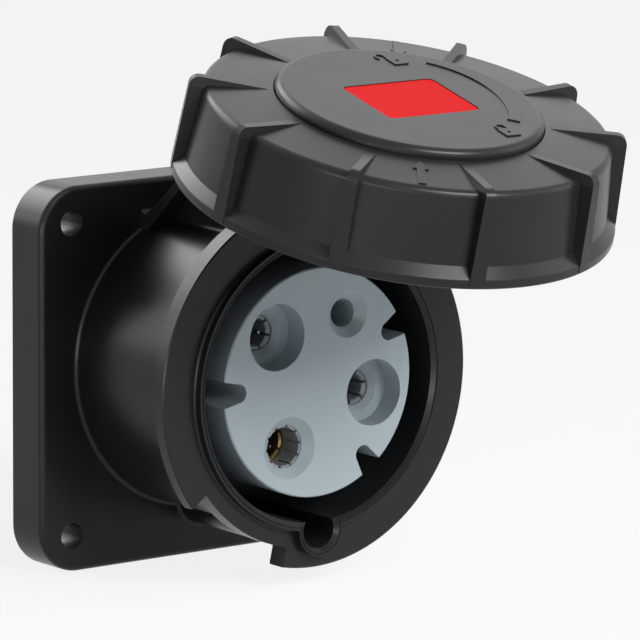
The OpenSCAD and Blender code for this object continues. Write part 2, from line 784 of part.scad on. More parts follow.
module housing() {
    color(black) front() difference() {
        union() {
            flange();
            neck();
            difference() {
                union() {
                    collar();
                    lip();
                }
                // way through for the lid's arm
                difference() {
                    translate([-gap_half, bore_d / 2, shoulder_z]) cube([2 * gap_half, far, far]);
                    rod(neck_d, 0, collar_front + margin);
                    rod(lip_d, collar_front - margin, lip_front + margin);
                }
            }
            bracket();
        }
        // mouth, keyway and insert seat
        rod(bore_d, floor_z, lip_front + margin);
        rod(insert_d + 2 * floor_clearance, shoulder_z - margin, floor_z + margin);
        lip_details(bore_d / 2);
        translate([0, -key_centre, 0]) {
            rod(2 * key_r, floor_z, lip_front + margin);
            lip_details(key_r);
        }
        rod(rear_bore_d, -margin, shoulder_z);
        // mounting holes and ear screw holes
        translate([0, -flange_drop, 0]) on_corners(mount_pitch / 2, mount_pitch / 2)
            rod(mount_hole_d, -margin, flange_depth + margin, fn_small);
        on_corners(ear_x, ear_y)
            rod(ear_screw_d + 2 * screw_clearance, 0, ear_z + ear_screw_l + hole_spare, fn_small);
        gasket_strip(0, -margin, gasket_groove_depth);
        at_hinge() hinge_rod(pin_d / 2, far);
    }
}

module panel_gasket() {
    color(rubber) front() gasket_strip(gasket_clearance, 0, gasket_groove_depth);
}

// ---- Contact insert ----

// Places a piece on the contact circle.
module at_contact(angle, r = contact_pitch_r) {
    clock(angle) translate([0, r, 0]) children();
}

// Opening with a counterbore and a funnel over a phase contact.
module phase_opening() {
    counter_z = insert_front - phase_counter_depth;
    funnel_z = counter_z - phase_funnel_depth;
    rod(phase_counter_d, counter_z, insert_front + margin);
    cone(phase_hole_d, phase_funnel_d, funnel_z, counter_z + eps, fn_small);
    rod(phase_hole_d, phase_tip_z - margin, funnel_z + eps);
    rod(2 * (phase_sleeve_r + sleeve_space), foot_z - margin, phase_tip_z - 2);
    rod(phase_hole_d, phase_tip_z - 3, phase_tip_z);
}

// Opening with a conical lead-in over the earth contact.
module earth_opening() {
    lead_z = insert_front - earth_lead;
    cone(earth_hole_d, earth_hole_d + 2 * earth_lead, lead_z, insert_front);
    rod(earth_hole_d, insert_front - cage_rear, insert_front + margin);
    // narrower behind, as the cage's seat
    rod(2 * (earth_sleeve_r + seat_clearance), earth_tip_z - 3 * margin, insert_front - cage_rear + eps);
    rod(2 * (earth_sleeve_r + sleeve_space), foot_z - margin, earth_tip_z - 2);
}

// Blind pilot hole with a conical lead-in.
module pilot_opening() {
    lead_z = insert_front - pilot_lead;
    cone(pilot_d, pilot_d + 2 * pilot_lead, lead_z, insert_front);
    rod(pilot_d, insert_front - pilot_depth, insert_front + margin);
}

// Round-bottomed notch, open at the insert's side.
module side_notch() {
    centre = notch_reach + notch_r;
    side = insert_d / 2 + 1;
    translate([0, 0, shoulder_z]) linear_extrude(far) {
        translate([0, centre]) circle(r = notch_r, $fn = fn_small);
        polygon([[-notch_r, centre], [notch_r, centre], [notch_half, side], [-notch_half, side]]);
    }
}

module insert() {
    r = insert_d / 2;
    foot_r = rear_bore_d / 2 - foot_clearance;
    color(grey_blue) front() difference() {
        rotate_extrude($fn = fn_large) polygon([[0, foot_z], [foot_r, foot_z], [foot_r, shoulder_z],
            [r, shoulder_z], [r, insert_front - insert_chamfer], [r - insert_chamfer, insert_front],
            [0, insert_front]]);
        for (a = [phase_1_clock, phase_2_clock]) at_contact(a) {
            phase_opening();
            rod(flange_ring_d + 2 * seat_clearance, foot_z - margin, foot_z + flange_ring_t);
        }
        at_contact(earth_clock) {
            earth_opening();
            rod(flange_ring_d + 2 * seat_clearance, foot_z - margin, foot_z + flange_ring_t);
        }
        at_contact(pilot_clock, pilot_pitch_r) pilot_opening();
        for (a = notch_clock) clock(a) side_notch();
        for (a = joiner_clock) at_contact(a, joiner_r)
            rod(joiner_d + 2 * screw_clearance, foot_z - margin,
                joiner_seat_z + joiner_l + hole_spare, fn_small);
    }
}

// ---- Contacts ----

// Square terminal block with its wire hole and the threaded holes of its clamp screws.
module terminal_block() {
    h = block_side / 2;
    difference() {
        translate([0, 0, -block_rear]) linear_extrude(block_length)
            rounded_square(block_side, block_side, 1);
        rod(wire_d, -block_rear - margin, wire_depth - block_rear, fn_small);
        for (z = clamp_from_end) translate([0, 0, z - block_rear]) rotate([-90, 0, 0])
            rod(clamp_d, 0, h + margin, fn_small);
    }
}

// Slots through a tube, from a height to its front end.
module through_slots(count, from) {
    for (k = [1:count / 2]) rotate([0, 0, 360 * k / count])
        translate([-far / 2, -slot_w / 2, from]) cube([far, slot_w, far]);
}

// Contact drawn on its own axis: slotted sleeve, holding collar and terminal block.
module contact(pin, sleeve_r, tip_z) {
    spring_z = tip_z - spring_back;
    difference() {
        union() {
            rod(2 * sleeve_r, block_front_z - margin, tip_z);
            rod(flange_ring_d, foot_z, foot_z + flange_ring_t);
            cone(block_side - margin, flange_ring_d, block_front_z - margin, foot_z);
            terminal_block();
        }
        rod(pin, foot_z, tip_z + margin);
        cone(pin, pin + sleeve_wall, tip_z - sleeve_wall / 2, tip_z + eps);
        through_slots(sleeve_slots, tip_z - slot_length);
        rotate_extrude($fn = fn_large) translate([sleeve_r + spring_wire / 2 - spring_seat, spring_z])
            circle(d = spring_wire, $fn = 24);
    }
}

// Spring ring round a sleeve's fingers.
module contact_spring(sleeve_r, tip_z) {
    color(steel) rotate_extrude($fn = fn_large)
        translate([sleeve_r + spring_wire / 2 - spring_seat, tip_z - spring_back])
            circle(d = spring_wire, $fn = 24);
}

// Clamp screw in its block, by its place in clamp_from_end.
module clamp_screw(index) {
    reach = (block_side - wire_d) / 2 - clamp_tip_gap;
    z = clamp_from_end[index] - block_rear;
    color(steel) translate([0, block_side / 2, z]) rotate([90, 0, 0])
        pan_screw(clamp_d - 2 * screw_clearance, reach, clamp_head_d, clamp_head_h);
}

module contact_l1() {
    color(plated) front() at_contact(phase_1_clock) contact(phase_pin_d, phase_sleeve_r, phase_tip_z);
}
module contact_l2() {
    color(plated) front() at_contact(phase_2_clock) contact(phase_pin_d, phase_sleeve_r, phase_tip_z);
}
module contact_pe() {
    color(brass) front() at_contact(earth_clock) contact(earth_pin_d, earth_sleeve_r, earth_tip_z);
}

// Slotted cage that guides the earth pin in front of its contact.
module earth_cage() {
    d = earth_hole_d - 2 * cage_clearance;
    low = insert_front - cage_rear;
    color(plated) front() at_contact(earth_clock) difference() {
        tube(d, d - 2 * cage_wall, low, insert_front - cage_front);
        through_slots(cage_slots, low + cage_ring);
    }
}

module spring_l1() { front() at_contact(phase_1_clock) contact_spring(phase_sleeve_r, phase_tip_z); }
module spring_l2() { front() at_contact(phase_2_clock) contact_spring(phase_sleeve_r, phase_tip_z); }
module spring_pe() { front() at_contact(earth_clock) contact_spring(earth_sleeve_r, earth_tip_z); }
module clamp_l1_a() { front() at_contact(phase_1_clock) clamp_screw(0); }
module clamp_l1_b() { front() at_contact(phase_1_clock) clamp_screw(1); }
module clamp_l2_a() { front() at_contact(phase_2_clock) clamp_screw(0); }
module clamp_l2_b() { front() at_contact(phase_2_clock) clamp_screw(1); }
module clamp_pe_a() { front() at_contact(earth_clock) clamp_screw(0); }
module clamp_pe_b() { front() at_contact(earth_clock) clamp_screw(1); }

// ---- Contact base ----

// Chamber of one terminal block, open at the rear and, behind the panel, at the side.
module chamber() {
    side = block_side + 2 * chamber_clearance;
    translate([-side / 2, -side / 2, -base_rear - margin])
        cube([side, side, block_front_z + base_rear + margin]);
    translate([-side / 2, 0, -base_rear - margin]) cube([side, far, base_rear + margin]);
    rod(flange_ring_d + 2 * seat_clearance, block_front_z - margin, foot_z + margin);
}

module contact_base() {
    wide_d = rear_bore_d - 2 * foot_clearance;
    color(black) front() difference() {
        union() {
            rod(base_d, -base_rear, foot_z);
            rod(wide_d, base_step_z, foot_z);
            rod(ear_plate_d, ear_z, tube_rear_z);
            rod(wide_d, tube_rear_z - eps, base_step_z + eps);
            for (sx = [-1, 1]) translate([0, 0, ear_z]) linear_extrude(ear_t) {
                translate([sx * ear_x, ear_y]) circle(d = ear_d, $fn = fn_small);
                translate([sx * ear_x, -ear_y]) circle(d = ear_d, $fn = fn_small);
                for (sy = [-1, 1]) rotate([0, 0, atan2(sy * ear_y, sx * ear_x)])
                    translate([0, -ear_d / 2]) square([norm([ear_x, ear_y]), ear_d]);
            }
        }
        for (a = [phase_1_clock, phase_2_clock, earth_clock]) at_contact(a) chamber();
        for (a = joiner_clock) at_contact(a, joiner_r) {
            rod(joiner_d + 2 * screw_clearance, 0, foot_z + margin, fn_small);
            rod(joiner_head_d + 2 * seat_clearance, -base_rear - margin, joiner_seat_z, fn_small);
        }
        on_corners(ear_x, ear_y) rod(ear_screw_d + 2 * screw_clearance, 0, tube_rear_z + margin, fn_small);
    }
}

// Screw that joins base and insert.
module joiner(angle) {
    color(steel) front() at_contact(angle, joiner_r) translate([0, 0, joiner_seat_z])
        pan_screw(joiner_d, joiner_l, joiner_head_d, joiner_head_h);
}

// Screw through an ear of the base.
module ear_screw(sx, sy) {
    color(steel) front() translate([sx * ear_x, sy * ear_y, ear_z])
        pan_screw(ear_screw_d, ear_screw_l, ear_head_d, ear_head_h);
}

module joiner_1() { joiner(joiner_clock[0]); }
module joiner_2() { joiner(joiner_clock[1]); }
module joiner_3() { joiner(joiner_clock[2]); }
module ear_screw_1() { ear_screw(1, 1); }
module ear_screw_2() { ear_screw(1, -1); }
module ear_screw_3() { ear_screw(-1, -1); }
module ear_screw_4() { ear_screw(-1, 1); }

// ---- Hinge ----

module hinge_pin() {
    length = 2 * (bracket_half + clip_t + pin_end);
    color(steel) front() at_hinge() hinge_rod(pin_d / 2, length);
}

// Push-on clip at one end of the pin.
module pin_clip(side) {
    color(steel) front() at_hinge(side * (bracket_half + clip_t / 2)) difference() {
        hinge_rod(clip_d / 2, clip_t);
        hinge_rod(pin_d / 2, clip_t + margin);
    }
}

module pin_clip_1() { pin_clip(-1); }
module pin_clip_2() { pin_clip(1); }

// ---- Lid ----

// Side outline of the hinge arm, in forward and upward coordinates.
function arm_outline() = let (
    back = ring_rear - arm_ring_gap,
    seal_back = ring_rear + seal_low - arm_seal_gap,
    cap_front = ring_rear + cap_high,
    cap_r = cap_d / 2,
    top = cap_r + arm_rise)
    [[cap_front, top - arm_top_t], [cap_front, top], [back, top], [back, hinge_up - margin],
     [hinge_out + margin, hinge_up + eye_r - eps], [hinge_out, hinge_up],
     [hinge_out + 2 * margin, hinge_up - eye_r + margin / 2],
     [back - arm_depth, arm_low + arm_chin], [back - arm_depth, arm_low], [seal_back, arm_low],
     [seal_back, top - arm_top_t]];

// Hinge arm with its eye, kept inside the ring where it passes through it.
module arm() {
    intersection() {
        across(arm_outline(), -arm_half, arm_half);
        union() {
            rod(inner_d - margin, ring_rear - arm_ring_gap - margin, ring_rear + cap_high);
            rod(far, 0, ring_rear - arm_ring_gap);
        }
    }
    at_hinge() hinge_rod(eye_r, 2 * eye_half);
}

module lid_cap() {
    color(black) on_lid() difference() {
        union() {
            from_ring_rear() {
                rod(cap_d, cap_low, cap_high);
                tube(hub_d, hub_d - 2 * hub_wall, cap_high - eps, hub_h);
            }
            arm();
        }
        from_ring_rear() {
            // groove of the seal
            tube(seal_out_d, seal_in_d, cap_low - margin, cap_low + seal_seat);
            // run of the ring's stop block
            difference() {
                sector(stop_clock - stop_span / 2 - 1, stop_clock + ring_turn + stop_span / 2 + 1,
                    cap_low - margin, cap_high + margin);
                rod(seal_out_d + stop_gap, 0, ceiling_h);
            }
            for (k = [0:3]) clock(disc_screw_clock + 90 * k) translate([0, disc_screw_r, 0]) {
                rod(disc_screw_d + 2 * screw_clearance, 0, cap_high + margin, fn_small);
                rod(disc_head_d + 2 * seat_clearance, 0, cap_low + disc_head_h, fn_small);
            }
        }
        at_hinge() hinge_rod(pin_d / 2 + pin_clearance, far);
    }
}

module lid_seal() {
    color(rubber) on_lid() from_ring_rear()
        tube(seal_out_d, seal_in_d, seal_low, cap_low + seal_seat);
}

module slide_washer() {
    color(natural) on_lid() from_ring_rear() tube(washer_out_d, washer_in_d, washer_low, washer_high);
}

// Wall of the ring, from the rear bead over the side to the seat of the disc.
function ring_profile() = let (
    top_r = top_d / 2,
    rise_r = disc_d / 2 + disc_gap,
    bead_r = bead_d / 2,
    round_r = bead_round)
    concat(
        [[skirt_d / 2, 0], [bead_r - round_r, 0]],
        arc(bead_r - round_r, round_r, round_r, 270, 360, 3),
        arc(bead_r - round_r, bead_h - round_r, round_r, 0, 50, 3),
        [[side_d / 2, side_h]],
        arc(top_r - top_edge_r, ring_h - top_edge_r, top_edge_r, 4, 88),
        [[rise_r, ring_h + top_rise], [rise_r, ring_seat_h],
         [ring_hole_r, ring_seat_h], [ring_hole_r, ceiling_h],
         [inner_d / 2, ceiling_h], [inner_d / 2, inner_h], [skirt_d / 2, bead_h]]);

// One grip rib at 12 o'clock: its side outline, narrowed towards the crest.
module grip_rib() {
    surface_h = ring_h + top_rise;
    corner = rib_corner_r;
    side_r = bead_d / 2 + rib_proud;
    intersection() {
        rotate([90, 0, 90]) linear_extrude(rib_w, center = true)
            polygon(concat([[rib_in_r, surface_h - margin], [rib_in_r, surface_h - eps / 2]],
                arc(rib_out_r - corner, rib_h - corner, corner, 90, 0),
                [[side_r, bead_h], [side_r, bead_round + eps], [side_d / 2 - margin, bead_round + eps],
                 [top_d / 2 - margin, ring_h - top_edge_r], [top_d / 2 - top_edge_r, ring_h - margin]]));
        rotate([-90, 0, 0]) linear_extrude(far)
            polygon([[-rib_w / 2, 0], [rib_w / 2, 0], [rib_top_w / 2, -ring_h + margin],
                [rib_crest_w / 2, -rib_h], [-rib_crest_w / 2, -rib_h], [-rib_top_w / 2, -ring_h + margin]]);
    }
}

// Bayonet lug at 12 o'clock.
module lug() {
    intersection() {
        tube(skirt_d + margin, 2 * lug_r, lug_low, lug_high);
        sector(-lug_span / 2, lug_span / 2, lug_low - margin, lug_high + margin);
    }
}

module lock_ring() {
    color(black) on_lid() from_ring_rear() {
        rotate_extrude($fn = fn_large) polygon(ring_profile());
        for (k = [0:rib_count - margin]) clock(rib_clock + 360 * k / rib_count) grip_rib();
        for (turn = [0, 180]) clock(lug_clock + turn) lug();
        clock(stop_clock) intersection() {
            tube(inner_d + margin, seal_out_d + 2 * stop_gap, cap_low + stop_gap / 2, ceiling_h + margin);
            sector(-stop_span / 2, stop_span / 2, cap_low, ceiling_h + margin);
        }
    }
}

module lid_disc() {
    r = disc_d / 2;
    color(black) on_lid() from_ring_rear() difference() {
        union() {
            rotate_extrude($fn = fn_large)
                polygon(concat([[0, disc_low], [r, disc_low]],
                    arc(r - disc_edge_r, disc_h - disc_edge_r, disc_edge_r, 0, 90), [[0, disc_h]]));
            for (k = [0:3]) clock(disc_screw_clock + 90 * k) translate([0, disc_screw_r, 0])
                rod(disc_boss_d, cap_high, disc_low + eps, fn_small);
        }
        translate([0, 0, disc_h - plate_seat]) linear_extrude(far)
            rounded_square(plate_w + 2 * plate_clearance, plate_h + 2 * plate_clearance, plate_r);
        for (k = [0:3]) clock(disc_screw_clock + 90 * k) translate([0, disc_screw_r, 0])
            rod(disc_screw_d + 2 * screw_clearance, 0,
                cap_low + disc_head_h + disc_screw_l + disc_hole_spare, fn_small);
    }
}

module lid_plate() {
    low = disc_h - plate_seat;
    color(red) on_lid() from_ring_rear() translate([0, 0, low]) linear_extrude(plate_t)
        rounded_square(plate_w, plate_h, plate_r);
}

// Screw from the cap into the disc, by its quarter.
module disc_screw(quarter) {
    color(steel) on_lid() from_ring_rear() clock(disc_screw_clock + 90 * quarter)
        translate([0, disc_screw_r, cap_low + disc_head_h])
            pan_screw(disc_screw_d, disc_screw_l, disc_head_d, disc_head_h);
}

module disc_screw_1() { disc_screw(0); }
module disc_screw_2() { disc_screw(1); }
module disc_screw_3() { disc_screw(2); }
module disc_screw_4() { disc_screw(3); }

housing();
panel_gasket();
insert();
contact_base();
contact_l1();
contact_l2();
contact_pe();
earth_cage();
spring_l1();
spring_l2();
spring_pe();
clamp_l1_a();
clamp_l1_b();
clamp_l2_a();
clamp_l2_b();
clamp_pe_a();
clamp_pe_b();
joiner_1();
joiner_2();
joiner_3();
ear_screw_1();
ear_screw_2();
ear_screw_3();
ear_screw_4();
hinge_pin();
pin_clip_1();
pin_clip_2();
lid_cap();
lid_seal();
slide_washer();
lock_ring();
lid_disc();
lid_plate();
disc_screw_1();
disc_screw_2();
disc_screw_3();
disc_screw_4();
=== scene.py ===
"""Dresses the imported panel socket: finishes, moulded marks, studio and camera.

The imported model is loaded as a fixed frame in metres, with +Z up and the socket facing -Y. The
lid's axis and the floor's height come from it. The marks' sizes are millimetres in the lid's own
coordinates.
"""

import json
import logging
import math
from dataclasses import dataclass, field
from enum import Enum
from typing import Any, Callable, Dict, List, Sequence, Tuple

import bpy
import numpy as np
from mathutils import Matrix, Vector


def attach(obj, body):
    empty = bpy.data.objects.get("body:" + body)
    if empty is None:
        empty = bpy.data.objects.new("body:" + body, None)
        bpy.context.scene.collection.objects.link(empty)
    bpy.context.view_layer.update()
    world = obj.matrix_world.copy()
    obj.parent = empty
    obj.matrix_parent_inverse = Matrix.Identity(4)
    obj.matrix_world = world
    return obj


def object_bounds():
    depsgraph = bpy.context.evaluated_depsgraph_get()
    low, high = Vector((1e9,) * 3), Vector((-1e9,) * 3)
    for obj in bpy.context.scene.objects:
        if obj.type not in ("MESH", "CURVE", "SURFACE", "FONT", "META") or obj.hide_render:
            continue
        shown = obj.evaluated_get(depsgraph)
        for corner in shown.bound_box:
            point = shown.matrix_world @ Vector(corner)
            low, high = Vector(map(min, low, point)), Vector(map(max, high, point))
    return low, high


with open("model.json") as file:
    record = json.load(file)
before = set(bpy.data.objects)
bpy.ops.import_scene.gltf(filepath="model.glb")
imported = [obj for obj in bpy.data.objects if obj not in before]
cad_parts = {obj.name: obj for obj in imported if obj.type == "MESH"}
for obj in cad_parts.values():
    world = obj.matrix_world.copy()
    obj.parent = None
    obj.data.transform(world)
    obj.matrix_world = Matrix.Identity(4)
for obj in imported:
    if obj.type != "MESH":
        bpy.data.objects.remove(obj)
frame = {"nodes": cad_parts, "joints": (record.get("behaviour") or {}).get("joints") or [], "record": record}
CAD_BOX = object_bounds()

LOG = logging.getLogger("panel_socket")
MM = 0.001
WHITE = (1.0, 1.0, 1.0, 1.0)

# The mix node's sockets by number, as several share a name
MIX_FACTOR, MIX_FIRST, MIX_SECOND, MIX_RESULT = 0, 6, 7, 2

# Noise that drives colour and roughness, and the part of its range that is used
CLOUD_DETAIL = 4.0
CLOUD_LOW, CLOUD_HIGH = 0.3, 0.7
# Noise and rings of the fine relief
GRAIN_DETAIL = 3.0
GRAIN_ROUGHNESS = 0.55
RING_DISTORTION = 0.6
RING_DETAIL = 2.0


# ---------------------------------------------------------------- colour and nodes


def linear_colour(code: str) -> Tuple[float, float, float, float]:
    """Turns an sRGB hex code into a linear colour.

    Args:
        code: six hex digits after a hash.

    Returns:
        Linear red, green, blue and an alpha of one.
    """
    values = [int(code[i:i + 2], 16) / 255 for i in (1, 3, 5)]
    linear = [v / 12.92 if v <= 0.04045 else ((v + 0.055) / 1.055) ** 2.4 for v in values]
    return (linear[0], linear[1], linear[2], 1.0)


def add_node(tree: bpy.types.NodeTree, kind: str, inputs: Dict[Any, Any],
             **settings: Any) -> bpy.types.Node:
    """Adds one node with its settings, input values and incoming links.

    Args:
        tree: the node tree that gets the node.
        kind: the node's type name.
        inputs: socket name or number to a value, or to the output socket that feeds it.
        settings: attributes of the node itself.

    Returns:
        The new node.
    """
    node = tree.nodes.new(kind)
    for key, value in settings.items():
        setattr(node, key, value)
    for key, value in inputs.items():
        if isinstance(value, bpy.types.NodeSocket):
            tree.links.new(value, node.inputs[key])
        else:
            node.inputs[key].default_value = value
    return node


@dataclass(frozen=True)
class Finish:
    """A finish with a base colour, a roughness that varies a little, and a fine relief.

    Blotch is the size of the faint drift in colour, grain the size of the relief and relief its
    depth, all in millimetres.
    """

    name: str
    colour: str
    second_colour: str
    roughness: Tuple[float, float]
    blotch: float
    grain: float
    relief: float
    metallic: float = 0.0
    specular: float = 0.5
    sheen: float = 0.0

    def relief_height(self, tree: bpy.types.NodeTree,
                      place: bpy.types.NodeSocket) -> bpy.types.NodeSocket:
        """Gives the height that the bump follows: even noise of the grain's size.

        Args:
            tree: the material's node tree.
            place: object coordinates.

        Returns:
            The socket with the height.
        """
        noise = add_node(tree, "ShaderNodeTexNoise",
                         {"Vector": place, "Scale": 1 / (self.grain * MM),
                          "Detail": GRAIN_DETAIL, "Roughness": GRAIN_ROUGHNESS})
        return noise.outputs["Fac"]

    def build(self) -> bpy.types.Material:
        """Makes the material.

        Returns:
            A node material with colour, roughness and relief.
        """
        material = bpy.data.materials.new(self.name)
        material.use_nodes = True
        tree = material.node_tree
        tree.nodes.clear()
        place = add_node(tree, "ShaderNodeTexCoord", {}).outputs["Object"]
        cloud = add_node(tree, "ShaderNodeTexNoise",
                         {"Vector": place, "Scale": 1 / (self.blotch * MM),
                          "Detail": CLOUD_DETAIL}).outputs["Fac"]
        colour = add_node(tree, "ShaderNodeMix",
                          {MIX_FACTOR: cloud, MIX_FIRST: linear_colour(self.colour),
                           MIX_SECOND: linear_colour(self.second_colour)}, data_type="RGBA")
        rough = add_node(tree, "ShaderNodeMapRange",
                         {"Value": cloud, "From Min": CLOUD_LOW, "From Max": CLOUD_HIGH,
                          "To Min": self.roughness[0], "To Max": self.roughness[1]})
        bump = add_node(tree, "ShaderNodeBump",
                        {"Height": self.relief_height(tree, place), "Strength": 1.0,
                         "Distance": self.relief * MM})
        shader = add_node(tree, "ShaderNodeBsdfPrincipled",
                          {"Base Color": colour.outputs[MIX_RESULT],
                           "Roughness": rough.outputs["Result"],
                           "Normal": bump.outputs["Normal"], "Metallic": self.metallic,
                           "Specular IOR Level": self.specular, "Sheen Weight": self.sheen})
        add_node(tree, "ShaderNodeOutputMaterial", {"Surface": shader.outputs["BSDF"]})
        return material


@dataclass(frozen=True)
class TurnedFinish(Finish):
    """A metal turned on a lathe, with fine rings round an axis along Y."""

    pitch: float = 0.4

    def relief_height(self, tree: bpy.types.NodeTree,
                      place: bpy.types.NodeSocket) -> bpy.types.NodeSocket:
        """Gives rings of the turning pitch, broken up by noise.

        Args:
            tree: the material's node tree.
            place: object coordinates.

        Returns:
            The socket with the height.
        """
        # a wave repeats every 2 pi / (20 x scale) of the coordinate
        rings = add_node(tree, "ShaderNodeTexWave",
                         {"Vector": place, "Scale": math.pi / (10 * self.pitch * MM),
                          "Distortion": RING_DISTORTION, "Detail": RING_DETAIL},
                         bands_direction="Y")
        return rings.outputs["Fac"]


BLACK_POLYAMIDE = Finish("black_polyamide", "#1d1e20", "#1f2022", roughness=(0.29, 0.32),
                         blotch=14.0, grain=0.45, relief=0.0025, specular=0.22)
GREY_POLYAMIDE = Finish("blue_grey_polyamide", "#9ba8af", "#a0acb2", roughness=(0.42, 0.48),
                        blotch=9.0, grain=0.4, relief=0.004, specular=0.35)
RED_ABS = Finish("red_abs", "#dc0c11", "#e00e13", roughness=(0.5, 0.55),
                 blotch=6.0, grain=0.35, relief=0.003, specular=0.05)
SEAL_RUBBER = Finish("epdm_rubber", "#0f1011", "#151617", roughness=(0.68, 0.8),
                     blotch=3.0, grain=0.3, relief=0.012, sheen=0.15)
ACETAL = Finish("natural_acetal", "#dddcd4", "#e3e2da", roughness=(0.38, 0.45),
                blotch=8.0, grain=0.5, relief=0.004)
ZINC_STEEL = Finish("zinc_plated_steel", "#a9acaf", "#b9bbbd", roughness=(0.3, 0.42),
                    blotch=2.0, grain=0.25, relief=0.004, metallic=1.0)
TURNED_BRASS = TurnedFinish("turned_brass", "#b89a62", "#c4a66c", roughness=(0.26, 0.36),
                            blotch=3.0, grain=0.4, relief=0.004, metallic=1.0)
TIN_PLATE = TurnedFinish("dull_tin_plate", "#85898c", "#8e9295", roughness=(0.5, 0.58),
                         blotch=3.0, grain=0.4, relief=0.003, metallic=0.4)
SPRING_STEEL = Finish("spring_steel", "#7c7f82", "#8b8e91", roughness=(0.28, 0.36),
                      blotch=2.0, grain=0.2, relief=0.003, metallic=1.0)


# ---------------------------------------------------------------- meshes


def new_piece(name: str, verts: np.ndarray, faces: List[Tuple[int, ...]],
              material: bpy.types.Material) -> bpy.types.Object:
    """Makes a flat-shaded object whose mesh holds its place.

    Args:
        name: name of the piece.
        verts: points in metres, one row each.
        faces: point numbers of each face, seen anticlockwise from outside.
        material: the piece's finish.

    Returns:
        The new object, at the origin.
    """
    mesh = bpy.data.meshes.new(name)
    mesh.from_pydata(verts.tolist(), [], faces)
    mesh.update()
    mesh.materials.append(material)
    mesh.polygons.foreach_set("use_smooth", [False] * len(mesh.polygons))
    piece = bpy.data.objects.new(name, mesh)
    bpy.context.scene.collection.objects.link(piece)
    return piece


def circle_points(angles: np.ndarray) -> np.ndarray:
    """Gives points of the unit circle, anticlockwise from x, at angles in radians."""
    return np.stack([np.cos(angles), np.sin(angles)], axis=1)


def anticlockwise(outline: np.ndarray) -> np.ndarray:
    """Turns a closed outline anticlockwise, by the sign of its area."""
    x, y = outline[:, 0], outline[:, 1]
    area = np.sum(x * np.roll(y, -1) - np.roll(x, -1) * y)
    return outline if area > 0 else outline[::-1]


def inset(outline: np.ndarray, distance: float) -> np.ndarray:
    """Moves a closed anticlockwise outline inwards by a distance.

    Each corner moves along the sum of its two edge normals, divided by one plus their dot
    product, so that both edges move by the same distance.

    Args:
        outline: corner points, one row each.
        distance: how far the edges move inwards.

    Returns:
        The moved corners.
    """
    edge = np.roll(outline, -1, axis=0) - outline
    length = np.linalg.norm(edge, axis=1)[:, None]
    normal = np.stack([-edge[:, 1], edge[:, 0]], axis=1) / length
    before = np.roll(normal, 1, axis=0)
    share = 1 + np.sum(normal * before, axis=1)
    return outline + distance * (normal + before) / share[:, None]


@dataclass(frozen=True)
class LidFrame:
    """The lid's coordinates in millimetres: x right, y to the hinge, h out of the front."""

    origin: Vector
    outwards: Vector

    @classmethod
    def from_joint(cls, joint: Dict[str, Any]) -> "LidFrame":
        """Reads the frame from the joint that turns the ring, whose axis points inwards.

        Args:
            joint: the joint's record.

        Returns:
            The lid's frame.
        """
        return cls(Vector(joint["pos_m"]), -Vector(joint["axis"]).normalized())

    def place(self, flat: np.ndarray, height: np.ndarray) -> np.ndarray:
        """Puts points of the lid into the world.

        Args:
            flat: x and y, one row each.
            height: h of each point.

        Returns:
            Points in metres, one row each.
        """
        right = np.array([1.0, 0.0, 0.0])
        out = np.array(self.outwards)
        up = np.cross(out, right)
        local = flat[:, :1] * right + flat[:, 1:2] * up + np.reshape(height, (-1, 1)) * out
        return np.array(self.origin) + local * MM


@dataclass(frozen=True)
class RaisedMark:
    """A mark moulded proud of a surface, with a small bevel round its top."""

    height: float = 0.4
    sunk: float = 0.3
    bevel: float = 0.08

    def build(self, name: str, outline: np.ndarray, lid: LidFrame,
              surface: Callable[[np.ndarray], np.ndarray],
              material: bpy.types.Material) -> bpy.types.Object:
        """Lofts the outline from below the surface to its top, in three loops.

        Args:
            name: name of the piece.
            outline: anticlockwise corner points in millimetres.
            lid: the lid's frame.
            surface: height of the surface that carries the mark, from flat points.
            material: the mark's finish.

        Returns:
            The mark's object.
        """
        top = inset(outline, self.bevel)
        loops = [(outline, -self.sunk), (outline, self.height - self.bevel), (top, self.height)]
        verts = np.concatenate([lid.place(flat, surface(flat) + lift) for flat, lift in loops])
        n = len(outline)
        faces: List[Tuple[int, ...]] = [tuple(reversed(range(n)))]
        for level in range(len(loops) - 1):
            low, high = level * n, (level + 1) * n
            faces += [(low + i, low + (i + 1) % n, high + (i + 1) % n, high + i)
                      for i in range(n)]
        faces.append(tuple(range(2 * n, 3 * n)))
        return new_piece(name, verts, faces, material)


# ---------------------------------------------------------------- the lid's marks


class Lock(Enum):
    """The two padlock signs on the lid."""

    OPEN = "open"
    SHUT = "shut"


@dataclass(frozen=True)
class Padlock:
    """A padlock sign in millimetres, about the middle of its body."""

    half_w: float = 2.5
    half_h: float = 2.6
    keyhole_r: float = 0.6
    keyhole_steps: int = 16
    slit: float = 0.02
    bow_out_r: float = 1.9
    bow_in_r: float = 1.2
    bow_points: int = 11
    leg: float = 1.6
    foot: float = 0.1

    def body(self) -> np.ndarray:
        """Outline of the body, where a thin slit joins the lower edge to the keyhole."""
        w, h, slit = self.half_w, self.half_h, self.slit
        around = np.radians(np.linspace(-90, 270, self.keyhole_steps + 1)[:-1])
        hole = self.keyhole_r * circle_points(around)
        edge = [[-slit, -h], [-w, -h], [-w, h], [w, h], [w, -h], [slit, -h]]
        return np.concatenate([edge, [[slit, hole[0, 1]]], hole[1:], [[-slit, hole[0, 1]]]])

    def shackle(self) -> np.ndarray:
        """Outline of the shackle, whose feet sink a little into the body."""
        bow = circle_points(np.radians(np.linspace(0, 180, self.bow_points)))
        lift = np.array([0.0, self.half_h + self.leg])
        low, out_r, in_r = self.half_h - self.foot, self.bow_out_r, self.bow_in_r
        return np.concatenate([[[out_r, low]], out_r * bow + lift, [[-out_r, low]],
                               [[-in_r, low]], in_r * bow[::-1] + lift, [[in_r, low]]])


